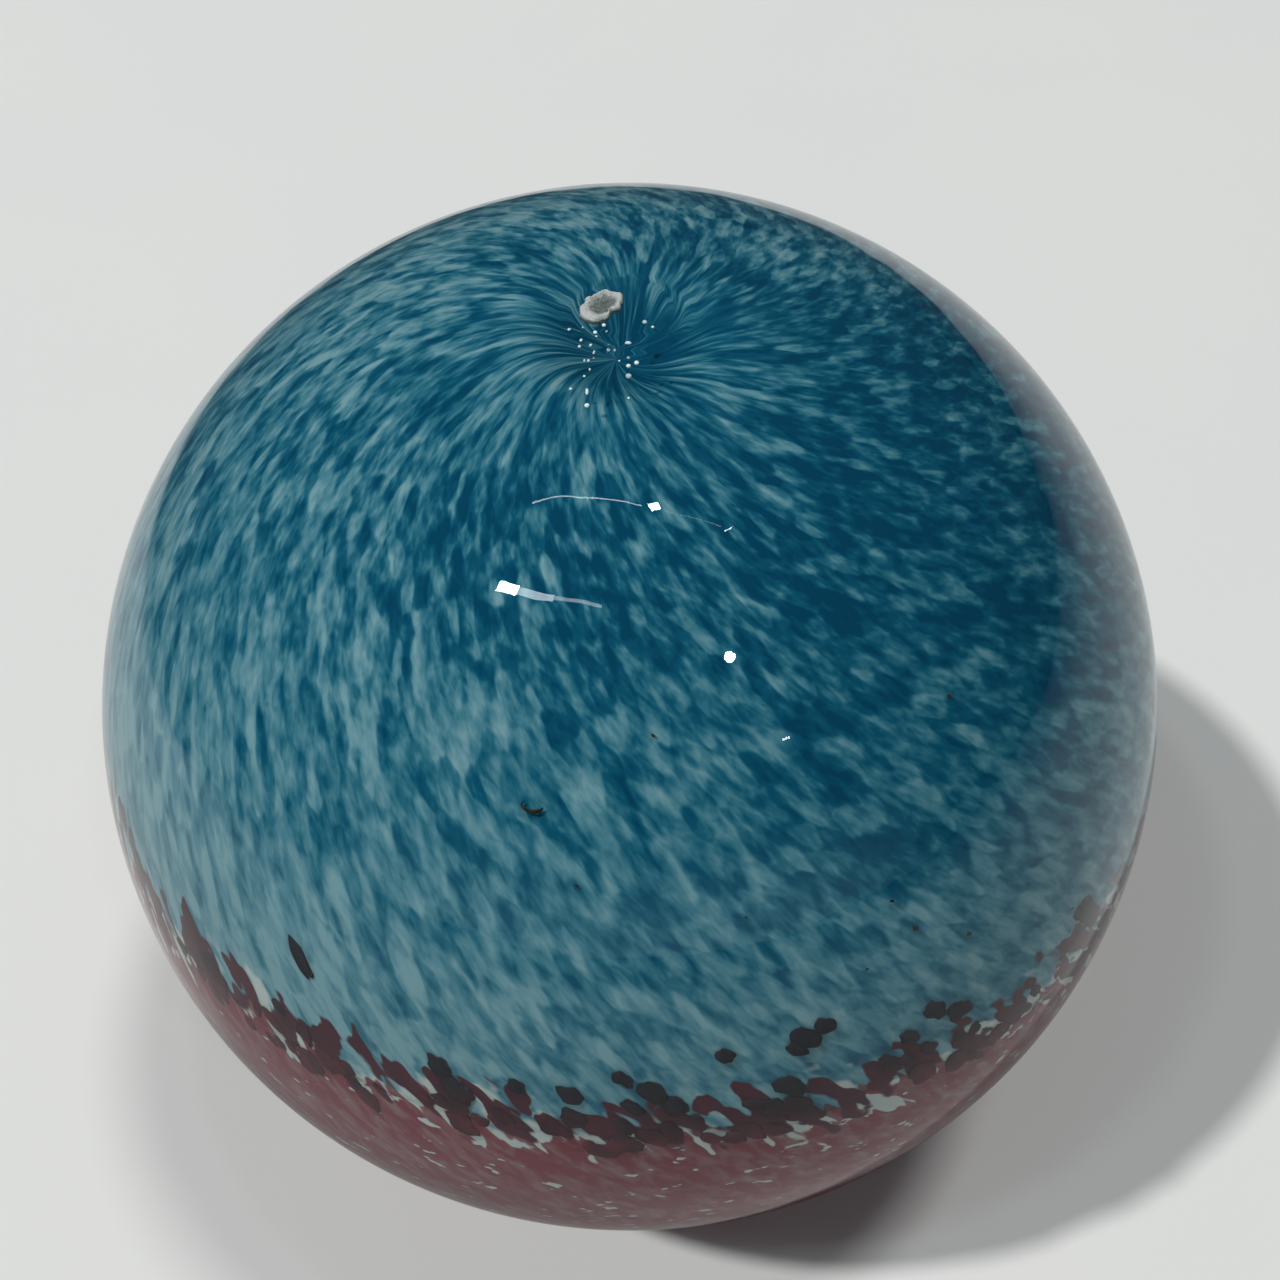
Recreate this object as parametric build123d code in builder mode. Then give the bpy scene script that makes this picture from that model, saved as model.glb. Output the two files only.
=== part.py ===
from build123d import *
import os
from math import cos, radians, sin, sqrt

# Solid art-glass paperweight: a near-sphere of clear glass over thin coloured frit layers.
# Millimetres, +Z up. The origin is the centre of the ground flat base, and +Z is the axis
# on which the glass was gathered and turned. The throat and its break-off scar are on top.

# Outer form
max_radius = 40.0
pole_radius = 39.2
base_radius = 16.0
base_bevel = 0.5
centre_height = pole_radius * sqrt(1 - (base_radius / max_radius) ** 2)
top_height = centre_height + pole_radius

# Coloured body inside the casing: its outer surface, and the layers inward from it
body_radius = 36.8
body_pole_radius = 35.0
body_centre = centre_height + 0.6
colour_thickness = 0.9
ground_thickness = 0.6

# Throat: the funnel where the colour closes below the scar
throat_shoulder_radius = 8.0
throat_neck_radius = 2.2
throat_neck_height = top_height - 5.9
throat_tip_height = top_height - 7.5
plug_top_radius = 4.3
plug_tip_radius = 1.0
plug_overrun = 1.0

# Border between the turquoise and the ruby colour
border_latitude = 3.0
border_height = body_centre + body_radius * sin(radians(border_latitude))

# Ruby grains that crossed the border: rings of long frit chips in the casing, on the colour
grains_per_ring = 28
ring_latitudes = (5.5, 0.0, -5.5)
ring_wander = 0.8
grain_half_length = 1.4
grain_width_share = 0.55
grain_thickness_share = 0.32
grain_bevel_share = 0.15
grain_lean = 35.0
grain_sway = 25.0

# Corners of a chip seen from above, as shares of its half length and half width
chip_corners = ((1, -0.2), (0.55, 0.9), (-0.3, 1), (-1, 0.1), (-0.6, -0.8), (0.35, -1))

# Single grains that strayed far above the border: azimuth from the front, and latitude
stray_places = ((-35, 17), (-19, 14), (6, 15), (18, 15), (75, 14), (130, 15), (-150, 16))

# Dark specks caught just above the colour: azimuth, latitude and half length
speck_places = ((30, 22, 0.35), (28, 24.5, 0.22), (3, 47, 0.25), (-110, 30, 0.3), (150, 35, 0.25))

# Skin of clear glass between the colour and whatever floats above it
colour_skin = 0.06
curl_azimuth = -11.7
curl_latitude = 40.3
curl_radius = 0.8
curl_wire_radius = 0.14
curl_sweep = 200.0

# Break-off scar: a low broken patch beside the axis, with a shallow dent in its top
scar_offset = -1.75
scar_depth = 0.6
scar_rise = 0.3
scar_top = top_height + scar_rise
scar_edge = 0.12
dent_radius = 2.2
dent_depth = 0.22
dent_x = scar_offset + 0.2
dent_y = 0.25

# Seed bubbles in the plug: distance from the axis, azimuth, depth below the top, radius
bubbles = (
    (0.9, 20, 2.3, 0.30),
    (1.6, 75, 2.0, 0.22),
    (1.4, 140, 2.8, 0.26),
    (1.8, 215, 2.4, 0.20),
    (1.0, 290, 3.4, 0.28),
    (0.5, 180, 4.6, 0.24),
    (0.6, 40, 5.6, 0.30),
)

os.makedirs("parts", exist_ok=True)


def finish_part(builder, name):
    builder.part.label = name
    export_step(builder.part, f"parts/{name}.step")


def outer_outline():
    """Half-section of the whole glass form, from the base plane to the top."""
    with BuildSketch() as outline:
        with Locations((0, centre_height)):
            Ellipse(max_radius, pole_radius, rotation=180)
        Rectangle(max_radius, top_height, align=(Align.MIN, Align.MIN), mode=Mode.INTERSECT)
    return outline.sketch


def body_outline(inset):
    """Half-section of the coloured body, drawn this far inside its outer surface."""
    wide = body_radius - inset
    tall = body_pole_radius - inset
    shoulder = throat_shoulder_radius + inset / 2
    rise = tall * sqrt(1 - (shoulder / wide) ** 2)
    slope = -(tall / wide) ** 2 * shoulder / rise
    shoulder_point = (shoulder, body_centre + rise)
    tip = (0, throat_tip_height - inset)
    with BuildSketch() as outline:
        with Locations((0, body_centre)):
            Ellipse(wide, tall, rotation=180)
        Rectangle(wide, top_height, align=(Align.MIN, Align.MIN), mode=Mode.INTERSECT)
        with BuildLine():
            Spline(
                shoulder_point,
                (throat_neck_radius + inset / 2, throat_neck_height - inset),
                tip,
                tangents=((-1, -slope), (-1, 0)),
            )
            Polyline(tip, (0, top_height), (shoulder, top_height), shoulder_point)
        make_face(mode=Mode.SUBTRACT)
    return outline.sketch


def colour_outline():
    """Half-section of the whole colour layer, turquoise and ruby together."""
    with BuildSketch() as outline:
        add(body_outline(0))
        add(body_outline(colour_thickness), mode=Mode.SUBTRACT)
    return outline.sketch


def surface_plane(azimuth, latitude, lift, lean):
    """Plane on the colour's surface: Z out of the glass, X down the side, turned by lean."""
    turn = radians(azimuth)
    rise = radians(latitude)
    across = Vector(sin(turn), -cos(turn), 0)
    distance = 1 / sqrt((cos(rise) / body_radius) ** 2 + (sin(rise) / body_pole_radius) ** 2)
    point = across * (distance * cos(rise)) + Vector(0, 0, distance * sin(rise))
    outward = across * (cos(rise) * distance / body_radius**2)
    outward = (outward + Vector(0, 0, sin(rise) * distance / body_pole_radius**2)).normalized()
    down = (outward * outward.Z - Vector(0, 0, 1)).normalized()
    place = Vector(0, 0, body_centre) + point + outward * lift
    return Plane(place, x_dir=down.rotate(Axis((0, 0, 0), outward), lean), z_dir=outward)


def grain_places():
    """Plane of every ruby grain: the rings along the border, then the strays above it."""
    places = []
    for ring, latitude in enumerate(ring_latitudes):
        for i in range(grains_per_ring):
            azimuth = (i + ring / 3) * 360 / grains_per_ring
            wander = ring_wander * sin(7 * i + 3 * ring)
            level = border_latitude + latitude + wander
            lean = grain_lean + grain_sway * sin(5 * i + ring)
            places.append(surface_plane(azimuth, level, chip_lift(grain_half_length), lean))
    for azimuth, latitude in stray_places:
        lift = chip_lift(grain_half_length)
        places.append(surface_plane(azimuth, latitude, lift, grain_lean))
    return places


def chip_lift(half_length):
    """Height of a chip's middle plane that leaves the skin of clear glass below it."""
    sagitta = half_length**2 / (2 * body_pole_radius)
    return half_length * grain_thickness_share + colour_skin + sagitta


def frit_chip(half_length):
    """Long bevelled chip of frit at the origin, with its long axis on X."""
    half_width = half_length * grain_width_share
    half_thickness = half_length * grain_thickness_share
    with BuildPart() as chip:
        with BuildSketch(Plane.XY.offset(-half_thickness)):
            with BuildLine():
                Polyline([(x * half_length, y * half_width) for x, y in chip_corners], close=True)
            make_face()
        extrude(amount=2 * half_thickness)
        rims = chip.edges().filter_by(Axis.Z, reverse=True)
        chamfer(rims, half_length * grain_bevel_share)
    return chip.part


# Tools that shape several pieces

with BuildPart() as envelope:
    with BuildSketch(Plane.XZ):
        add(outer_outline())
    revolve(axis=Axis.Z)
    chamfer(envelope.faces().sort_by(Axis.Z)[0].edges(), base_bevel)

with BuildPart() as coloured_body:
    with BuildSketch(Plane.XZ):
        add(body_outline(0))
    revolve(axis=Axis.Z)

with BuildPart() as throat_cone:
    with BuildSketch(Plane.XY.offset(throat_tip_height)):
        Circle(plug_tip_radius)
    with BuildSketch(Plane.XY.offset(top_height + plug_overrun)):
        Circle(plug_top_radius)
    loft()

with BuildPart() as scar_block:
    with BuildSketch(Plane.XY.offset(scar_top)):
        with BuildLine(Location((scar_offset, 0))):
            Polyline(
                (-1.50, -1.25),
                (-0.75, -1.50),
                (0.15, -1.00),
                (1.20, -0.95),
                (1.45, 0.15),
                (1.15, 1.35),
                (-0.25, 1.45),
                (-1.05, 0.55),
                close=True,
            )
        make_face()
    extrude(amount=-(scar_rise + scar_depth))
    chamfer(scar_block.faces().sort_by(Axis.Z)[-1].edges(), scar_edge)
    with Locations((dent_x, dent_y, scar_top + dent_radius - dent_depth)):
        Sphere(dent_radius, mode=Mode.SUBTRACT)

# Loose grains and specks
with BuildPart() as ruby_border_grains:
    with Locations(*grain_places()):
        add(frit_chip(grain_half_length))

with BuildPart() as dark_inclusions:
    for azimuth, latitude, half_length in speck_places:
        with Locations(surface_plane(azimuth, latitude, chip_lift(half_length), grain_lean)):
            add(frit_chip(half_length))
    curl_lift = curl_wire_radius + colour_skin
    curl_plane = surface_plane(curl_azimuth, curl_latitude, curl_lift, 0)
    with BuildSketch(Plane(curl_plane.origin, x_dir=curl_plane.x_dir, z_dir=curl_plane.y_dir)):
        with Locations((curl_radius, 0)):
            Circle(curl_wire_radius)
    revolve(axis=Axis(curl_plane.origin, curl_plane.z_dir), revolution_arc=curl_sweep)

# Layers, from the middle outwards
with BuildPart() as clear_core:
    with BuildSketch(Plane.XZ):
        add(body_outline(colour_thickness + ground_thickness))
    revolve(axis=Axis.Z)

with BuildPart() as opal_ground_layer:
    with BuildSketch(Plane.XZ):
        add(body_outline(colour_thickness))
        add(body_outline(colour_thickness + ground_thickness), mode=Mode.SUBTRACT)
    revolve(axis=Axis.Z)

with BuildPart() as turquoise_frit_layer:
    with BuildSketch(Plane.XZ):
        add(colour_outline())
        with Locations((0, border_height)):
            Rectangle(body_radius, top_height, align=(Align.MIN, Align.MIN), mode=Mode.INTERSECT)
    revolve(axis=Axis.Z)

with BuildPart() as ruby_frit_cup:
    with BuildSketch(Plane.XZ):
        add(colour_outline())
        Rectangle(body_radius, border_height, align=(Align.MIN, Align.MIN), mode=Mode.INTERSECT)
    revolve(axis=Axis.Z)

# Clear glass outside the colour
with BuildPart() as throat_plug:
    add(envelope.part)
    add(throat_cone.part, mode=Mode.INTERSECT)
    add(coloured_body.part, mode=Mode.SUBTRACT)
    add(scar_block.part, mode=Mode.SUBTRACT)
    for reach, azimuth, depth, radius in bubbles:
        turn = radians(azimuth)
        with Locations((reach * cos(turn), reach * sin(turn), top_height - depth)):
            Sphere(radius, mode=Mode.SUBTRACT)

with BuildPart() as clear_casing:
    add(envelope.part)
    add(coloured_body.part, mode=Mode.SUBTRACT)
    add(throat_cone.part, mode=Mode.SUBTRACT)
    add(ruby_border_grains.part, mode=Mode.SUBTRACT)
    add(dark_inclusions.part, mode=Mode.SUBTRACT)

with BuildPart() as break_off_scar:
    add(scar_block.part)

finish_part(clear_core, "clear_core")
finish_part(opal_ground_layer, "opal_ground_layer")
finish_part(turquoise_frit_layer, "turquoise_frit_layer")
finish_part(ruby_frit_cup, "ruby_frit_cup")
finish_part(ruby_border_grains, "ruby_border_grains")
finish_part(dark_inclusions, "dark_inclusions")
finish_part(throat_plug, "throat_plug")
finish_part(break_off_scar, "break_off_scar")
finish_part(clear_casing, "clear_casing")
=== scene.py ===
import bpy
import random
from math import asin, cos, exp, pi, radians, sin, sqrt, tau
from mathutils import Matrix, Vector, noise


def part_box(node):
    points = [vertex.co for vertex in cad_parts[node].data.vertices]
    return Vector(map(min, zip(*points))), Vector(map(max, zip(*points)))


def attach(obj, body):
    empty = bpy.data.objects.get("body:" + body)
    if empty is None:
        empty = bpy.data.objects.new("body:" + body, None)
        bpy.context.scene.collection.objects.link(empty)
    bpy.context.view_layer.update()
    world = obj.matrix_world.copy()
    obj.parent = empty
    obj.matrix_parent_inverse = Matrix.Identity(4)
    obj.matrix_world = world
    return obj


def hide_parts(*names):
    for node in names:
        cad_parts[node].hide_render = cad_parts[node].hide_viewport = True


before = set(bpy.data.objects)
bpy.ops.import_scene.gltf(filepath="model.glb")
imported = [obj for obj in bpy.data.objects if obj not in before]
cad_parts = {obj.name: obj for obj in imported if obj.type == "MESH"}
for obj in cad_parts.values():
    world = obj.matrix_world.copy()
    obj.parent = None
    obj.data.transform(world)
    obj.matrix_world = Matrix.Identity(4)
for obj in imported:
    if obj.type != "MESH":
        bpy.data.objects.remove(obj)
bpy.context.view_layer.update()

# Solid glass paperweight: clear casing over swirled turquoise frit with a ruby underside.
# Metres throughout. Azimuth 0 is the front (-Y) and grows towards +X.

# --- Driving sizes, from the frame where it holds them -------------------------------------

MAX_RADIUS = (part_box("clear_casing")[1].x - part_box("clear_casing")[0].x) / 2
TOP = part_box("throat_plug")[1].z
BASE_RADIUS = 0.016
BASE_BEVEL = 0.0005
# The vertical semi-axis b and the centre height c meet TOP = b + c and the base circle.
BASE_SHARE = sqrt(1 - (BASE_RADIUS / MAX_RADIUS) ** 2)
POLE_RADIUS = TOP / (1 + BASE_SHARE)
CENTRE = Vector((0, 0, TOP - POLE_RADIUS))

BODY_RADIUS = (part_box("ruby_frit_cup")[1].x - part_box("ruby_frit_cup")[0].x) / 2
BODY_POLE_RADIUS = 0.035
BODY_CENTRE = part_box("ruby_frit_cup")[0].z + BODY_POLE_RADIUS
BODY_SKIN = 0.0009
BORDER_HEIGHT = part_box("turquoise_frit_layer")[0].z
THROAT_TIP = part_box("throat_plug")[0].z
THROAT_SHOULDER = 0.008

SCAR_LOW, SCAR_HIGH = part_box("break_off_scar")
MM = 0.001
GLASS_IOR = 1.5

# How finely each form is divided
LATHE_SIDES = 256
FLAT_STEPS = 8
SIDE_STEPS = 300
BODY_STEPS = 160
THROAT_STEPS = 40
PEBBLE_SIDES = 18
PEBBLE_STEPS = 8
CURL_SIDES = 10
CURL_STEPS = 26
BUBBLE_SIDES = 24
BUBBLE_STEPS = 12
SCAR_SIDES = 72

# Ring where the throat's plug meets the casing, a faint dip in the outer surface
PLUG_RADIUS = 0.0034
PLUG_RING_WIDTH = 0.00035
PLUG_RING_DEPTH = 0.00012

# The streaks close a little left of the axis: how far at the top, and how fast that fades
STREAK_SHIFT = 0.0010
SHIFT_POWER = 3

# The swirl turns by the polar angle to this power, and falls by its square
SWIRL_POWER = 0.7
SWIRL_DROP = 9.5

# Reach of the swirl's coordinates at the throat, as a share of that at the widest part
THROAT_SHARE = 0.4

# How far the fine noise pushes a streak along the swirl, in millimetres
STREAK_PUSH = 1.5

# Border of the ruby grains: mean latitude and swing in degrees, and where it is highest
BORDER_LATITUDE = 3.5
BORDER_SWING = 4.5
BORDER_TURN = radians(20)

# Groups of grains along the border, and the middle height and half thickness of a grain
GRAIN_GROUPS = 150
GRAIN_LIFT = 0.08 * MM
GRAIN_HALF_THICKNESS = 0.22 * MM
STRAY_LEAN = 0.72
STRAY_LIFT = 0.1 * MM
STRAY_HALF_THICKNESS = 0.24 * MM

# The turquoise from where it lies deep to where it lies thin; painted light and shade move along
# the same stops
TURQUOISE_STOPS = (
    (0.22, (0.0015, 0.052, 0.104)),
    (0.40, (0.0040, 0.085, 0.145)),
    (0.54, (0.0250, 0.145, 0.205)),
    (0.70, (0.0850, 0.235, 0.290)),
    (0.88, (0.1700, 0.330, 0.370)),
)

# The milky ground, what a full layer of ruby lets through, and clotted ruby over turquoise
GROUND = (0.42, 0.50, 0.48, 1)
RUBY_PASS = (0.40, 0.07, 0.105, 1)
CLOT = (0.10, 0.02, 0.035, 1)
CLOT_EDGE = (0.016, 0.014, 0.02, 1)

# Grains above the border: azimuth, latitude, half length and half width in millimetres
STRAY_GRAINS = (
    (-35, 16, 1.5, 0.6),
    (-19, 10, 0.95, 0.7),
    (9, 14, 0.8, 0.5),
    (17, 14, 1.1, 0.8),
    (19, 15, 0.8, 0.6),
    (16, 13, 0.8, 0.5),
    (2, 10, 1.4, 0.7),
    (4, 8, 1.0, 0.8),
    (-1, 12, 0.8, 0.5),
    (31, 11, 1.1, 0.7),
    (34, 9, 1.0, 0.8),
    (28, 9, 0.9, 0.5),
    (52, 8, 0.8, 0.6),
    (78, 12, 0.9, 0.6),
    (120, 9, 1.1, 0.6),
    (163, 8, 0.9, 0.7),
    (-140, 10, 1.2, 0.6),
    (-85, 13, 0.9, 0.6),
)

# Burnt specks: azimuth, latitude and half length in millimetres
SPECKS = (
    (30, 22, 0.24),
    (28, 26, 0.14),
    (36, 18, 0.22),
    (24, 20, 0.12),
    (3, 47, 0.14),
    (-6, 33, 0.12),
    (44, 41, 0.16),
    (12, 29, 0.10),
    (-110, 30, 0.25),
    (150, 35, 0.2),
)

# The larger seed bubbles near the throat: x, y, depth below the top and radius in
# millimetres, and how far each is drawn out along Y
BUBBLES = (
    (-1.5, -1.0, 1.2, 0.13, 1.0),
    (-2.0, -1.5, 1.3, 0.13, 1.0),
    (-3.0, -2.5, 1.8, 0.10, 1.0),
    (1.5, -1.0, 1.5, 0.09, 1.0),
    (0.0, -3.5, 1.9, 0.10, 1.0),
    (0.0, -4.0, 2.2, 0.14, 1.0),
    (0.5, -4.0, 1.8, 0.15, 1.0),
    (0.0, -5.0, 2.0, 0.18, 1.0),
    (0.0, -6.5, 2.5, 0.08, 1.0),
    (-2.5, -6.0, 2.4, 0.10, 2.6),
    (-2.5, -7.0, 2.6, 0.15, 1.0),
    (-3.5, -6.0, 2.0, 0.10, 1.0),
    (0.0, -0.5, 4.2, 0.20, 1.0),
    (1.0, 0.5, 3.2, 0.15, 1.0),
)

# The fine seed below the scar: how many, and the middle and spread of the cluster
SEED_COUNT = 18
SEED_MIDDLE = (-2.0, -2.7, 2.0)
SEED_SPREAD = (0.7, 0.9, 0.3)

# Section of the scar from below its middle, up the rim and into the dent: share of the
# outline's reach, and share of the scar's height
SCAR_SECTION = (
    (0.00, 0.00),
    (0.50, 0.00),
    (0.90, 0.00),
    (0.97, 0.25),
    (1.00, 0.50),
    (0.99, 0.72),
    (0.94, 0.86),
    (0.87, 0.95),
    (0.78, 0.93),
    (0.70, 0.84),
    (0.62, 0.70),
    (0.50, 0.62),
    (0.25, 0.58),
    (0.00, 0.58),
)

# Lamps that are seen in the glass. Each is a strip from one direction to another, given as
# elevation and azimuth in degrees from the middle of the glass, with its width in degrees
# and its power. Where both directions are the same, it is a disc.
LAMP_DISTANCE = 3.0
LAMP_BLUE = (0.80, 0.94, 1.0)
LAMPS = (
    ("left_lamp", (62.5, -65.5), (64.5, -58.0), 1.8, 0.60),
    ("left_lamp_streak", (64.5, -58.0), (68.5, -42.0), 1.3, 0.09),
    ("left_lamp_streak_end", (68.5, -42.0), (70.5, -17.0), 0.8, 0.035),
    ("overhead_lamp", (85.0, 106.0), (85.0, 120.0), 2.2, 0.30),
    ("overhead_lamp_streak", (71.5, -104.0), (87.0, 135.0), 0.3, 0.05),
    ("overhead_lamp_streak_end", (83.5, 98.0), (73.5, 86.0), 0.2, 0.005),
    ("overhead_glint", (72.5, 83.0), (70.5, 87.0), 0.4, 0.015),
    ("right_lamp", (56.5, 36.5), (56.5, 36.5), 2.2, 0.30),
    ("right_glint", (38.0, 39.0), (37.5, 41.5), 0.6, 0.02),
)

# Lamps that light the scene and make no reflection: direction, width and power
HIDDEN_LAMPS = (
    ("key", (58, -74), 3.0, 5.7),
    ("fill", (76, 122), 9.0, 2.9),
)

FLOOR_HALF_SIDE = 20.0

# The lit floor, as a reflection shows it, ends at a straight edge: its Y at X = 0 in
# millimetres, its slope, and half the width over which it fades
LIT_EDGE = 191.0
LIT_SLOPE = 0.793
LIT_FADE = 12.0

# --- Camera, at the photograph's angle ------------------------------------------------------

CAMERA_ELEVATION = radians(51.0)
CAMERA_DISTANCE = 3.70 * MAX_RADIUS
CAMERA_PITCH = radians(49.2)
CAMERA_YAW = radians(-0.46)
CAMERA_LENS = 52.9
SENSOR = 36.0


def make_camera():
    data = bpy.data.cameras.new("photo_camera")
    data.lens = CAMERA_LENS
    data.sensor_width = SENSOR
    data.clip_start = 0.01
    camera = bpy.data.objects.new("photo_camera", data)
    bpy.context.scene.collection.objects.link(camera)
    back = Vector((0, -cos(CAMERA_ELEVATION), sin(CAMERA_ELEVATION)))
    camera.location = CENTRE + back * CAMERA_DISTANCE
    camera.rotation_euler = (pi / 2 - CAMERA_PITCH, 0, CAMERA_YAW)
    bpy.context.scene.camera = camera


make_camera()


# --- Node graph helpers ---------------------------------------------------------------------


class Graph:
    """Short calls that add nodes to a material or world, with values that are plain or sockets."""

    def __init__(self, owner, output="ShaderNodeOutputMaterial"):
        owner.use_nodes = True
        self.owner = owner
        self.tree = owner.node_tree
        self.tree.nodes.clear()
        self.output = self.tree.nodes.new(output)

    def node(self, kind, inputs=(), **settings):
        made = self.tree.nodes.new(kind)
        for key, value in settings.items():
            setattr(made, key, value)
        for key, value in dict(inputs).items():
            self.put(value, made.inputs[key])
        return made

    def put(self, value, socket):
        if isinstance(value, bpy.types.NodeSocket):
            self.tree.links.new(value, socket)
        elif value is not None:
            socket.default_value = value

    def math(self, operation, a, b=None, c=None, clamp=False):
        made = self.node("ShaderNodeMath", operation=operation, use_clamp=clamp)
        for socket, value in zip(made.inputs, (a, b, c)):
            self.put(value, socket)
        return made.outputs[0]

    def vector(self, operation, a, b=None, scale=None):
        made = self.node("ShaderNodeVectorMath", operation=operation)
        self.put(a, made.inputs[0])
        self.put(b, made.inputs[1])
        self.put(scale, made.inputs[3])
        return made.outputs["Value" if operation in ("LENGTH", "DOT_PRODUCT") else "Vector"]

    def join(self, x, y, z):
        return self.node("ShaderNodeCombineXYZ", {"X": x, "Y": y, "Z": z}).outputs[0]

    def split(self, value):
        made = self.node("ShaderNodeSeparateXYZ", {"Vector": value})
        return made.outputs["X"], made.outputs["Y"], made.outputs["Z"]

    def noise(self, vector, scale, detail, roughness=0.5):
        values = {"Vector": vector, "Scale": scale, "Detail": detail, "Roughness": roughness}
        return self.node("ShaderNodeTexNoise", values).outputs["Fac"]

    def cells(self, vector, scale, smoothness):
        """One random number for each cell, with the cells melting into each other."""
        made = self.node(
            "ShaderNodeTexVoronoi",
            {"Vector": vector, "Scale": scale, "Smoothness": smoothness},
            feature="SMOOTH_F1",
        )
        return self.split(made.outputs["Color"])[0]

    def step(self, value, low, high):
        """Smoothly 0 below low and 1 above high. Low may be above high, which turns it round."""
        values = {"Value": value, "From Min": low, "From Max": high}
        made = self.node("ShaderNodeMapRange", values, interpolation_type="SMOOTHSTEP")
        return made.outputs["Result"]

    def mix(self, factor, a, b, blend="MIX"):
        made = self.node("ShaderNodeMix", data_type="RGBA", blend_type=blend)
        self.put(factor, made.inputs[0])
        self.put(a, made.inputs[6])
        self.put(b, made.inputs[7])
        return made.outputs[2]

    def ramp(self, factor, *stops):
        made = self.node("ShaderNodeValToRGB", {"Fac": factor})
        elements = made.color_ramp.elements
        while len(elements) < len(stops):
            elements.new(0.5)
        for element, (place, colour) in zip(elements, stops):
            element.position = place
            element.color = (*colour, 1)
        return made.outputs["Color"]

    def millimetres(self):
        """Object coordinates in millimetres, from the middle of the coloured body."""
        place = self.node("ShaderNodeTexCoord").outputs["Object"]
        centred = self.vector("SUBTRACT", place, (0, 0, BODY_CENTRE))
        return self.vector("SCALE", centred, scale=1 / MM)

    def bump(self, height, distance, strength):
        values = {"Height": height, "Distance": distance, "Strength": strength}
        return self.node("ShaderNodeBump", values).outputs[0]

    def finish(self, shader):
        self.tree.links.new(shader, self.output.inputs["Surface"])
        return self.owner


def new_material(name):
    return Graph(bpy.data.materials.new(name))


def swirl(graph):
    """Coordinates in millimetres that follow the swirl, with the polar angle and azimuth."""
    x, y, z = graph.split(graph.millimetres())
    share = graph.math("MULTIPLY", z, MM / BODY_POLE_RADIUS, clamp=True)
    lean = graph.math("POWER", share, SHIFT_POWER)
    x = graph.math("MULTIPLY_ADD", lean, STREAK_SHIFT / MM, x)
    polar = graph.math("ARCTAN2", graph.vector("LENGTH", graph.join(x, y, 0)), z)
    azimuth = graph.math("ARCTAN2", x, graph.math("MULTIPLY", y, -1.0))
    turn = graph.math("SUBTRACT", azimuth, graph.math("POWER", polar, SWIRL_POWER))
    sine = graph.math("SINE", polar)
    square = graph.math("MULTIPLY", sine, sine)
    least = THROAT_SHARE**2
    square = graph.math("MULTIPLY_ADD", square, 1 - least, least)
    spread = graph.math("MULTIPLY", graph.math("SQRT", square), BODY_RADIUS / MM)
    place = graph.join(
        graph.math("MULTIPLY", graph.math("SINE", turn), spread),
        graph.math("MULTIPLY", graph.math("COSINE", turn), spread),
        graph.math("MULTIPLY", graph.math("MULTIPLY", polar, polar), SWIRL_DROP),
    )
    return place, polar, azimuth


# --- Materials ------------------------------------------------------------------------------


def let_lamps_in(graph, glass):
    """Glass that bends what is seen through it, and lets lamp light straight to the colour."""
    path = graph.node("ShaderNodeLightPath")
    clear = graph.node("ShaderNodeBsdfTransparent")
    for ray in ("Is Diffuse Ray", "Is Shadow Ray"):
        pick = graph.node("ShaderNodeMixShader", {0: path.outputs[ray], 1: glass})
        graph.tree.links.new(clear.outputs[0], pick.inputs[2])
        glass = pick.outputs[0]
    return glass


def clear_glass(name):
    """Colourless glass with the faint uneven surface of a hand-worked gather."""
    graph = new_material(name)
    place = graph.millimetres()
    shader = graph.node(
        "ShaderNodeBsdfPrincipled",
        {
            "Base Color": (1, 1, 1, 1),
            "Roughness": 0.0,
            "IOR": GLASS_IOR,
            "Transmission Weight": 1.0,
        },
    )
    waves = graph.noise(place, 0.16, 1.5)
    graph.put(graph.bump(waves, 0.0004, 0.2), shader.inputs["Normal"])
    return graph.finish(let_lamps_in(graph, shader.outputs[0]))


def matte_shader(graph, colour, roughness=0.7):
    """A surface without any gloss."""
    shader = graph.node(
        "ShaderNodeBsdfPrincipled",
        {"Base Color": colour, "Roughness": roughness, "Specular IOR Level": 0.0},
    )
    return shader.outputs[0]


def matte(graph, colour):
    """Colour that lies inside the glass, so it has no gloss of its own."""
    return graph.finish(matte_shader(graph, colour))


def border_level(graph, place, polar, azimuth):
    """Degrees above the wandering border of the ruby grains, lower at the back and the right."""
    swing = graph.math("COSINE", graph.math("ADD", azimuth, BORDER_TURN))
    border = graph.math("MULTIPLY_ADD", swing, BORDER_SWING, BORDER_LATITUDE)
    wander = graph.math("MULTIPLY_ADD", graph.noise(place, 0.13, 2.0), 7.0, -3.5)
    latitude = graph.math("MULTIPLY_ADD", polar, -180 / pi, 90)
    return graph.math("SUBTRACT", latitude, graph.math("ADD", border, wander))


def lengthened(graph, place, share):
    """Swirl coordinates with their drop reduced to a share, which lengthens what they draw."""
    return graph.vector("MULTIPLY", place, (1.0, 1.0, share))


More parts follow.
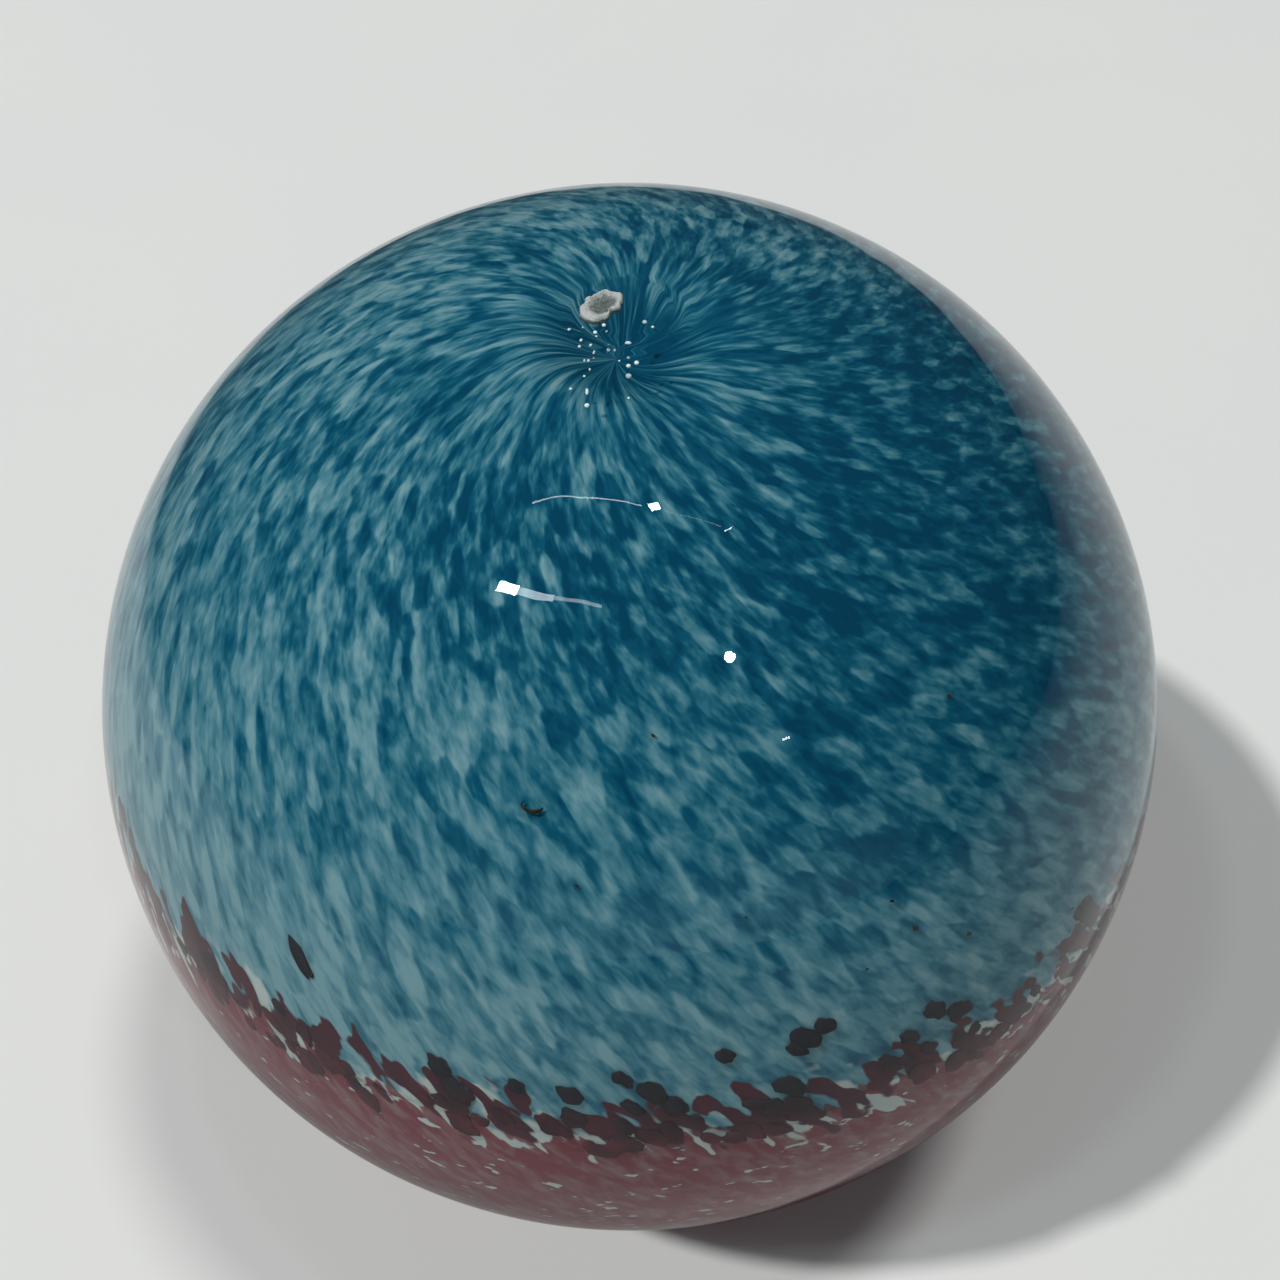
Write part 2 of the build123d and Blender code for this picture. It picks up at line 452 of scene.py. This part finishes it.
def turquoise_frit(graph, place, strokes, streaks, polar, azimuth):
    """Veils and deep grains of turquoise, from a pattern and from where the frit lies thin, with
    painted light, shade and reflection laid over them.
    """
    value = graph.math("MULTIPLY", streaks, 1.30)
    value = graph.math("MULTIPLY_ADD", graph.cells(strokes, 0.92, 0.35), 0.38, value)
    value = graph.math("MULTIPLY_ADD", graph.noise(place, 0.13, 2.0), 0.25, value)

    # Paler low down: pale veils, and a painted reflection of the floor. Painted light on the left,
    # towards the key lamp, and painted shade on the right. Darker in front of the throat and paler
    # behind it. Darker in the throat: painted shade in its hollow, and deeper colour where the
    # frit is drawn in.
    low_veil_and_reflection = graph.step(polar, 0.80, 1.30)
    lowest_veil_and_reflection = graph.step(polar, 1.12, 1.32)
    throat = graph.step(polar, 0.17, 0.07)
    left = graph.math("COSINE", graph.math("ADD", azimuth, 1.3))
    left = graph.math("MULTIPLY", left, graph.math("ADD", graph.step(polar, 0.3, 0.7), 0.55))
    front = graph.math("MULTIPLY", graph.step(polar, 0.25, 0.42), graph.step(polar, 0.9, 0.5))
    front = graph.math("MULTIPLY", front, graph.math("COSINE", azimuth))
    for where, weight in (
        (low_veil_and_reflection, 0.20),
        (lowest_veil_and_reflection, 0.10),
        (left, 0.09),
        (front, -0.13),
        (throat, -0.14),
    ):
        value = graph.math("MULTIPLY_ADD", where, weight, value)

    # The grains melt together towards the widest part.
    value = graph.math("SUBTRACT", value, 0.925)
    contrast = graph.math("MULTIPLY_ADD", graph.step(polar, 0.4, 1.1), -0.3, 1.0)
    return graph.ramp(graph.math("MULTIPLY_ADD", value, contrast, 0.45), *TURQUOISE_STOPS)


def ruby_frit(graph, place, ragged, streaks, level, turquoise):
    """Ruby frit from below, with windows where neither colour covers the ground."""
    sink = graph.math("MULTIPLY_ADD", level, -1 / 26, -0.20)
    ruby = graph.step(graph.math("ADD", ragged, sink), 0.48, 0.52)
    dashes = graph.noise(graph.vector("MULTIPLY", place, (0.7, 0.7, 1.6)), 0.9, 2.0)
    ruby = graph.math("MULTIPLY", ruby, graph.step(dashes, 0.70, 0.66))
    rise = graph.math("MULTIPLY_ADD", level, 1 / 22, 0.12)
    cover = graph.step(graph.math("ADD", graph.noise(place, 0.5, 2.0), rise), 0.42, 0.56)
    depth = graph.math("MULTIPLY_ADD", streaks, 0.7, 0.60, clamp=True)
    base = graph.mix(cover, GROUND, turquoise)
    base = graph.mix(graph.math("MULTIPLY", ruby, 0.25), base, GROUND)
    return graph.mix(graph.math("MULTIPLY", ruby, depth), base, RUBY_PASS, "MULTIPLY")


def border_band(graph, drawn, ragged, level, colour):
    """The band at the border, where ruby grains run together over the blue."""
    away = graph.math("ABSOLUTE", graph.math("ADD", level, 2.5))
    fade = graph.math("MULTIPLY_ADD", graph.step(away, 1.5, 9.0), -0.34, 0.015)
    clots = graph.noise(lengthened(graph, drawn, 0.8), 0.56, 1.5, 0.4)
    clots = graph.step(graph.math("ADD", clots, fade), 0.495, 0.54)
    return graph.mix(clots, colour, graph.mix(ragged, CLOT_EDGE, CLOT))


def frit_glass(name):
    """The fused colour: a milky ground seen through turquoise frit and ruby frit."""
    graph = new_material(name)
    place, polar, azimuth = swirl(graph)
    level = border_level(graph, place, polar, azimuth)

    # Grains of frit, drawn out along the swirl and sharpened towards one end
    push = graph.noise(place, 0.8, 1.0)
    push = graph.math("MULTIPLY_ADD", push, STREAK_PUSH, -STREAK_PUSH / 2)
    drawn = graph.vector("ADD", place, graph.join(0, 0, push))
    strokes = lengthened(graph, drawn, 0.55)
    streaks = graph.noise(lengthened(graph, drawn, 0.75), 0.88, 2.5, 0.55)
    ragged = graph.noise(strokes, 0.60, 2.0)

    turquoise = turquoise_frit(graph, place, strokes, streaks, polar, azimuth)
    colour = ruby_frit(graph, place, ragged, streaks, level, turquoise)
    return matte(graph, border_band(graph, drawn, ragged, level, colour))


def grain_glass():
    """Ruby grains over turquoise: dark maroon, with redder patches low down."""
    graph = new_material("dark_ruby_glass")
    place, polar, azimuth = swirl(graph)
    level = border_level(graph, place, polar, azimuth)
    redness = graph.math("MULTIPLY", graph.noise(place, 0.8, 2.0), graph.step(level, 3.0, -7.0))
    colour = graph.ramp(
        redness,
        (0.05, (0.0130, 0.0140, 0.0200)),
        (0.30, (0.0330, 0.0120, 0.0180)),
        (0.60, (0.0850, 0.0160, 0.0260)),
    )
    return matte(graph, colour)


def opal_glass():
    graph = new_material("opal_glass")
    tint = graph.noise(graph.millimetres(), 0.3, 2.0)
    return matte(graph, graph.ramp(tint, (0.3, (0.50, 0.60, 0.60)), (0.7, (0.64, 0.70, 0.68))))


def speck_material():
    """Burnt specks and the curl, from nearly black to brown."""
    graph = new_material("dark_speck")
    tint = graph.noise(graph.millimetres(), 1.2, 2.0)
    return matte(graph, graph.ramp(tint, (0.4, (0.006, 0.010, 0.010)), (0.6, (0.05, 0.03, 0.012))))


def bubble_painted_glints():
    """Walls of the seed bubbles as matte beads: pale where a glint is painted on them, greyer
    elsewhere.
    """
    graph = new_material("bubble_painted_glints")
    painted_glint = graph.noise(graph.millimetres(), 0.8, 1.0)
    colour = graph.ramp(painted_glint, (0.35, (0.40, 0.56, 0.58)), (0.55, (0.88, 1.0, 1.0)))
    return matte(graph, colour)


def broken_glass():
    """Rough break: paler at the top of its raised rim, a painted highlight, and darker in the
    dent.
    """
    graph = new_material("broken_glass")
    z = graph.split(graph.node("ShaderNodeTexCoord").outputs["Object"])[2]
    # Painted highlight: paler at the top of the rim, set by height alone
    raised = graph.step(z, SCAR_HIGH.z - 0.45 * MM, SCAR_HIGH.z - 0.12 * MM)
    speckle = graph.noise(graph.millimetres(), 5.0, 3.0)
    # Speckle, with the painted highlight on the rim's top
    pale = graph.math("MULTIPLY_ADD", speckle, 0.3, graph.math("MULTIPLY", raised, 0.85))
    colour = graph.ramp(
        pale,
        (0.15, (0.09, 0.11, 0.10)),
        (0.50, (0.20, 0.23, 0.22)),
        (0.90, (0.52, 0.55, 0.53)),
    )
    shader = graph.node(
        "ShaderNodeBsdfPrincipled",
        {"Base Color": colour, "Roughness": 0.35, "Specular IOR Level": 0.5},
    )
    graph.put(graph.bump(speckle, 0.0003, 0.6), shader.inputs["Normal"])
    return graph.finish(shader.outputs[0])


# --- Meshes ---------------------------------------------------------------------------------


def new_mesh(name, verts, faces, smooth=True):
    mesh = bpy.data.meshes.new(name)
    mesh.from_pydata([tuple(v) for v in verts], [], faces)
    mesh.validate()
    if smooth:
        mesh.shade_smooth()
    piece = bpy.data.objects.new(name, mesh)
    bpy.context.scene.collection.objects.link(piece)
    return piece


def ring_faces(rings):
    """Faces that join rings of vertex numbers. A ring of one vertex closes the end."""
    faces = []
    for low, high in zip(rings, rings[1:]):
        count = max(len(low), len(high))
        for i in range(count):
            j = (i + 1) % count
            if len(low) == 1:
                faces.append((low[0], high[j], high[i]))
            elif len(high) == 1:
                faces.append((low[i], low[j], high[0]))
            else:
                faces.append((low[i], low[j], high[j], high[i]))
    return faces


def add_rings(verts, faces, steps, sides, vertex):
    """Append a closed form made of rings. Its first and last rings are single points."""
    rings = []
    for i in range(steps + 1):
        count = 1 if i in (0, steps) else sides
        rings.append(list(range(len(verts), len(verts) + count)))
        verts.extend(vertex(i, tau * j / sides) for j in range(count))
    faces.extend(ring_faces(rings))


def lathe(name, profile):
    """Closed solid of revolution about the Z axis. The profile runs from axis to axis."""
    verts = []
    faces = []

    def vertex(i, turn):
        radius, height = profile[i]
        return Vector((radius * cos(turn), radius * sin(turn), height))

    add_rings(verts, faces, len(profile) - 1, LATHE_SIDES, vertex)
    return new_mesh(name, verts, faces)


def side_profile():
    """Points of the glass's half-ellipse from the base circle to the top pole."""
    start = asin(BASE_RADIUS / MAX_RADIUS)
    points = []
    for i in range(SIDE_STEPS + 1):
        angle = start + (pi - start) * i / SIDE_STEPS
        points.append((MAX_RADIUS * sin(angle), CENTRE.z - POLE_RADIUS * cos(angle)))
    points[-1] = (0, CENTRE.z + POLE_RADIUS)
    return points


def casing_profile():
    """Ground flat, its bevel, the side, and the shallow ring where the throat was closed."""
    flat_radius = BASE_RADIUS - BASE_BEVEL
    flat = [(flat_radius * i / FLAT_STEPS, 0) for i in range(FLAT_STEPS + 1)]
    points = flat + [p for p in side_profile() if p[1] > BASE_BEVEL]
    grooved = []
    for radius, height in points:
        dip = exp(-(((radius - PLUG_RADIUS) / PLUG_RING_WIDTH) ** 2)) if height > CENTRE.z else 0
        grooved.append((radius, height - PLUG_RING_DEPTH * dip))
    return grooved


def body_profile(inset):
    """The coloured body from the bottom pole, over the shoulder and down to the throat's tip."""
    wide = BODY_RADIUS - inset
    tall = BODY_POLE_RADIUS - inset
    shoulder = THROAT_SHOULDER + inset / 2
    points = []
    for i in range(BODY_STEPS + 1):
        angle = (pi - asin(shoulder / wide)) * i / BODY_STEPS
        points.append((wide * sin(angle), BODY_CENTRE - tall * cos(angle)))
    points[0] = (0, BODY_CENTRE - tall)
    rim = points[-1][1]
    slope = (tall / wide) ** 2 * shoulder / (rim - BODY_CENTRE)
    tip = THROAT_TIP - inset
    for i in range(1, THROAT_STEPS + 1):
        t = i / THROAT_STEPS
        lift = slope * shoulder * t * (1 - t) ** 2
        drop = (t * t * (3 - 2 * t)) ** 1.5
        points.append((shoulder * (1 - t), rim + lift + (tip - rim) * drop))
    points[-1] = (0, tip)
    return points


def border_edge(inset):
    """Point of the body's side at the border, where both colour shells meet."""
    share = (BORDER_HEIGHT - BODY_CENTRE) / (BODY_POLE_RADIUS - inset)
    return ((BODY_RADIUS - inset) * sqrt(1 - share**2), BORDER_HEIGHT)


def colour_shell(name, above):
    """One closed shell of colour, from the border up to the throat or down to the bottom."""
    outer, inner = (
        [p for p in body_profile(inset) if (p[1] > BORDER_HEIGHT + 1e-5) == above]
        for inset in (0, BODY_SKIN)
    )
    if above:
        loop = inner[::-1] + [border_edge(BODY_SKIN), border_edge(0)] + outer
    else:
        loop = outer + [border_edge(0), border_edge(BODY_SKIN)] + inner[::-1]
    return lathe(name, loop)


def body_place(azimuth, latitude):
    """Point on the colour's surface, with the outward, sideways and downhill directions."""
    turn = radians(azimuth)
    rise = radians(latitude)
    across = Vector((sin(turn), -cos(turn), 0))
    reach = 1 / sqrt((cos(rise) / BODY_RADIUS) ** 2 + (sin(rise) / BODY_POLE_RADIUS) ** 2)
    point = across * (reach * cos(rise)) + Vector((0, 0, reach * sin(rise)))
    outward = Vector((point.x, point.y, point.z * (BODY_RADIUS / BODY_POLE_RADIUS) ** 2))
    outward.normalize()
    side = Vector((cos(turn), sin(turn), 0))
    return point + Vector((0, 0, BODY_CENTRE)), outward, side, side.cross(outward)


def add_pebble(verts, faces, where, lean, half, lift, seed):
    """Append one flattened, lumpy grain that follows the curve of the colour below it."""
    point, outward, side, down = where
    length, width, thickness = half
    along = down * cos(lean) + side * sin(lean)
    wide = side * cos(lean) - down * sin(lean)

    def vertex(i, turn):
        tilt = pi * (i / PEBBLE_STEPS - 0.5)
        spot = Vector((cos(turn), sin(turn), seed * 3.1))
        lump = 1 + 0.40 * noise.noise(spot * 1.3) + 0.16 * noise.noise(spot * 3.7)
        x = length * cos(tilt) * cos(turn) * lump
        y = width * cos(tilt) * sin(turn) * lump
        rise = lift + thickness * sin(tilt) - (x * x + y * y) / (2 * BODY_POLE_RADIUS)
        return point + along * x + wide * y + outward * rise

    add_rings(verts, faces, PEBBLE_STEPS, PEBBLE_SIDES, vertex)


def add_curl(verts, faces, where, radius, wire, sweep, lift):
    """Append a thin curl that tapers to its tail."""
    point, outward, side, down = where

    def vertex(i, roll):
        share = i / CURL_STEPS
        turn = sweep * share
        reach = radius * (1 - 0.35 * share)
        middle = point + side * (reach * cos(turn)) + down * (reach * 0.55 * sin(turn))
        out = (side * cos(turn) + down * sin(turn)).normalized()
        ends = i in (0, CURL_STEPS)
        thick = 0 if ends else wire * sqrt(1 - share) * min(1, 4 * share + 0.2)
        return middle + outward * lift + (out * cos(roll) + outward * sin(roll)) * thick

    add_rings(verts, faces, CURL_STEPS, CURL_SIDES, vertex)


def add_bubble(verts, faces, middle, radius, stretch):
    """Append one bead, drawn out along Y by the stretch."""

    def vertex(i, turn):
        tilt = pi * (i / BUBBLE_STEPS - 0.5)
        across = cos(turn) * cos(tilt)
        along = sin(turn) * cos(tilt) * stretch
        return middle + Vector((across, along, sin(tilt))) * radius

    add_rings(verts, faces, BUBBLE_STEPS, BUBBLE_SIDES, vertex)


# --- Pieces ---------------------------------------------------------------------------------


def register(piece, material, nodes):
    piece.data.materials.append(material)
    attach(piece, "root")
    if nodes:
        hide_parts(*nodes)


def make_glass():
    casing = lathe("clear_casing_form", casing_profile())
    register(casing, clear_glass("clear_glass"), ("clear_casing", "throat_plug"))


def make_colour():
    upper = colour_shell("turquoise_frit", above=True)
    material = frit_glass("turquoise_frit_glass")
    register(upper, material, ("turquoise_frit_layer",))
    lower = colour_shell("ruby_frit", above=False)
    material = frit_glass("ruby_frit_glass")
    register(lower, material, ("ruby_frit_cup",))


def make_grains():
    """The band of loose ruby grains, and the few that strayed above it."""
    rng = random.Random(11)
    verts = []
    faces = []
    for azimuth, latitude, length, width in STRAY_GRAINS:
        half = (length * MM, width * MM, STRAY_HALF_THICKNESS)
        where = body_place(azimuth, latitude)
        add_pebble(verts, faces, where, STRAY_LEAN, half, STRAY_LIFT, azimuth)
    for n in range(GRAIN_GROUPS):
        azimuth = rng.uniform(-180, 180)
        border = BORDER_LATITUDE + BORDER_SWING * cos(radians(azimuth) + BORDER_TURN)
        latitude = border + 2.0 - 9.0 * rng.random() ** 0.8
        lean = rng.uniform(0.45, 1.0)
        for k in range(rng.choice((1, 1, 2, 3))):
            length = rng.uniform(0.5, 1.35) * MM
            half = (length, length * rng.uniform(0.45, 0.8), GRAIN_HALF_THICKNESS)
            where = body_place(azimuth, latitude)
            add_pebble(verts, faces, where, lean, half, GRAIN_LIFT, n + 0.37 * k)
            azimuth += rng.uniform(-2.6, 2.6)
            latitude += rng.uniform(-1.6, 1.2)
    grains = new_mesh("ruby_grains", verts, faces)
    register(grains, grain_glass(), ("ruby_border_grains",))


def make_inclusions():
    """The brown curl and the burnt specks caught just above the colour."""
    rng = random.Random(5)
    verts = []
    faces = []
    add_curl(verts, faces, body_place(-12, 40), 0.75 * MM, 0.13 * MM, 3.9, 0.3 * MM)
    for n, (azimuth, latitude, length) in enumerate(SPECKS):
        half = (length * MM, length * 0.6 * MM, 0.12 * MM)
        lean = rng.uniform(0.2, 1.4)
        add_pebble(verts, faces, body_place(azimuth, latitude), lean, half, 0.2 * MM, n)
    specks = new_mesh("curl_and_specks", verts, faces)
    register(specks, speck_material(), ("dark_inclusions",))


def make_bubbles():
    """Seed bubbles in the throat."""
    rng = random.Random(3)
    seed = [
        tuple(rng.gauss(m, d) for m, d in zip(SEED_MIDDLE, SEED_SPREAD))
        + (rng.uniform(0.05, 0.10), rng.uniform(0.8, 1.4))
        for _ in range(SEED_COUNT)
    ]
    verts = []
    faces = []
    for x, y, depth, radius, stretch in BUBBLES + tuple(seed):
        middle = Vector((x * MM, y * MM, TOP - depth * MM))
        add_bubble(verts, faces, middle, radius * MM, stretch)
    bubbles = new_mesh("seed_bubbles", verts, faces)
    # Matte beads with painted glints stand for the bubbles
    register(bubbles, bubble_painted_glints(), ())


def make_scar():
    """The rough break: a raised ragged rim round a shallow dent, let into the top."""
    middle = (SCAR_LOW + SCAR_HIGH) / 2
    half = (SCAR_HIGH - SCAR_LOW) / 2

    def vertex(i, turn):
        share, height = SCAR_SECTION[i]
        around = Vector((cos(turn), sin(turn), 0))
        # The outline is drawn out along one diagonal, and ragged.
        reach = 1.12 - 0.46 * sin(turn - 0.75) ** 2
        reach += 0.20 * noise.noise(around * 1.7 + Vector((3.0, 1.0, 0)))
        reach += 0.12 * noise.noise(around * 4.0)
        shift = 0.12 * sin(pi * share)
        x = middle.x + half.x * (share * reach * cos(turn) + shift)
        y = middle.y + half.y * (share * reach * sin(turn) + shift)
        if height > 0.5:
            height += 0.10 * noise.noise(around * 3.0 + Vector((0, 0, share * 4)))
        return Vector((
            min(max(x, SCAR_LOW.x), SCAR_HIGH.x),
            min(max(y, SCAR_LOW.y), SCAR_HIGH.y),
            SCAR_LOW.z + 2 * half.z * min(max(height, 0), 1),
        ))

    verts = []
    faces = []
    add_rings(verts, faces, len(SCAR_SECTION) - 1, SCAR_SIDES, vertex)
    scar = new_mesh("break_off_scar_form", verts, faces)
    scar.visible_shadow = False
    register(scar, broken_glass(), ("break_off_scar",))


def dress_inner_nodes():
    """The core and the milky ground stay as made in CAD, with materials of their own."""
    for node, material in (
        ("clear_core", clear_glass("core_glass")),
        ("opal_ground_layer", opal_glass()),
    ):
        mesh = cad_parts[node].data
        mesh.materials.clear()
        mesh.materials.append(material)


# --- Stage ----------------------------------------------------------------------------------


def floor_in_reflections(graph, flat, colour):
    """The floor as the glass shows it, with painted shade: dimmer in front and far away, dark past
    its edge.
    """
    x, y = graph.split(flat)[:2]
    edge = graph.math("MULTIPLY_ADD", x, LIT_SLOPE, LIT_EDGE)
    lit = graph.step(graph.math("SUBTRACT", y, edge), LIT_FADE, -LIT_FADE)
    # Painted shade: the reflected floor dims with distance
    near = graph.step(graph.vector("LENGTH", flat), 700.0, 60.0)
    lit = graph.math("MULTIPLY", lit, graph.math("MULTIPLY_ADD", near, 0.5, 0.3))
    # Painted shade in front, in reflections only
    bearing = graph.split(graph.vector("NORMALIZE", flat))[1]
    dim = graph.math("MULTIPLY", graph.step(bearing, 0.0, -0.55), 0.5)
    lit = graph.math("MULTIPLY", lit, graph.math("SUBTRACT", 1.0, dim))
    return graph.mix(lit, (0.05, 0.05, 0.05, 1), colour)


def make_floor():
    side = FLOOR_HALF_SIDE
    corners = [(-side, -side, 0), (side, -side, 0), (side, side, 0), (-side, side, 0)]
    floor = new_mesh("floor", corners, [(0, 1, 2, 3)], smooth=False)
    graph = new_material("pale_floor")
    place = graph.millimetres()
    tone = graph.noise(place, 0.02, 2.0)
    colour = graph.ramp(tone, (0.3, (0.77, 0.775, 0.755)), (0.7, (0.79, 0.79, 0.765)))
    flat = graph.vector("MULTIPLY", place, (1, 1, 0))
    path = graph.node("ShaderNodeLightPath")
    reflected = floor_in_reflections(graph, flat, colour)
    seen = graph.mix(path.outputs["Is Glossy Ray"], colour, reflected)
    cloth = matte_shader(graph, seen, 0.9)
    # Far away, the floor fades into the backdrop, so that no horizon shows.
    clear = graph.node("ShaderNodeBsdfTransparent").outputs[0]
    far = graph.step(graph.vector("LENGTH", flat), 600.0, 2500.0)
    far = graph.math("MULTIPLY", far, path.outputs["Is Camera Ray"])
    faded = graph.node("ShaderNodeMixShader", {0: far, 1: cloth, 2: clear})
    floor.data.materials.append(graph.finish(faded.outputs[0]))


def toward(elevation, azimuth):
    up = radians(elevation)
    turn = radians(azimuth)
    return Vector((sin(turn) * cos(up), -cos(turn) * cos(up), sin(up)))


def make_lamp(name, start, end, width, strength, colour=(1, 1, 1)):
    """A strip of light from one direction to another, or a disc, turned to the glass."""
    first = CENTRE + toward(*start) * LAMP_DISTANCE
    last = CENTRE + toward(*end) * LAMP_DISTANCE
    data = bpy.data.lights.new(name, "AREA")
    data.shape = "RECTANGLE" if start != end else "DISK"
    data.size_y = radians(width) * LAMP_DISTANCE
    data.size = max((last - first).length, data.size_y)
    data.energy = strength * LAMP_DISTANCE**2
    data.color = colour
    lamp = bpy.data.objects.new(name, data)
    bpy.context.scene.collection.objects.link(lamp)
    away = ((first + last) / 2 - CENTRE).normalized()
    run = (last - first) if start != end else away.orthogonal()
    run = (run - away * run.dot(away)).normalized()
    turned = Matrix((run, away.cross(run), away)).transposed().to_4x4()
    lamp.matrix_world = Matrix.Translation((first + last) / 2) @ turned
    return lamp


def make_lights():
    for name, start, end, width, strength in LAMPS:
        make_lamp(name, start, end, width, strength, LAMP_BLUE)
    for name, place, width, strength in HIDDEN_LAMPS:
        make_lamp(name, place, place, width, strength).visible_glossy = False


def make_world():
    """A dim room with a paler wall low down at the front, and a plain pale backdrop."""
    world = bpy.data.worlds.new("studio")
    bpy.context.scene.world = world
    graph = Graph(world, "ShaderNodeOutputWorld")
    y, z = graph.split(graph.node("ShaderNodeTexCoord").outputs["Generated"])[1:]
    low = graph.step(z, 0.45, 0.0)
    front = graph.math("MULTIPLY", graph.step(y, -0.4, -0.9), 0.3)
    strength = graph.math("MULTIPLY_ADD", low, front, 0.03)
    room = graph.node("ShaderNodeBackground", {"Color": (0.9, 0.95, 1.0, 1), "Strength": strength})
    backdrop = graph.node("ShaderNodeBackground", {"Color": (0.62, 0.62, 0.61, 1)})
    camera = graph.node("ShaderNodeLightPath").outputs["Is Camera Ray"]
    shaders = {0: camera, 1: room.outputs[0], 2: backdrop.outputs[0]}
    graph.finish(graph.node("ShaderNodeMixShader", shaders).outputs[0])


make_glass()
make_colour()
make_grains()
make_inclusions()
make_bubbles()
make_scar()
dress_inner_nodes()
make_floor()
make_lights()
make_world()

scene = bpy.context.scene
scene.view_settings.view_transform = "Standard"
scene.cycles.caustics_reflective = False
scene.cycles.caustics_refractive = False
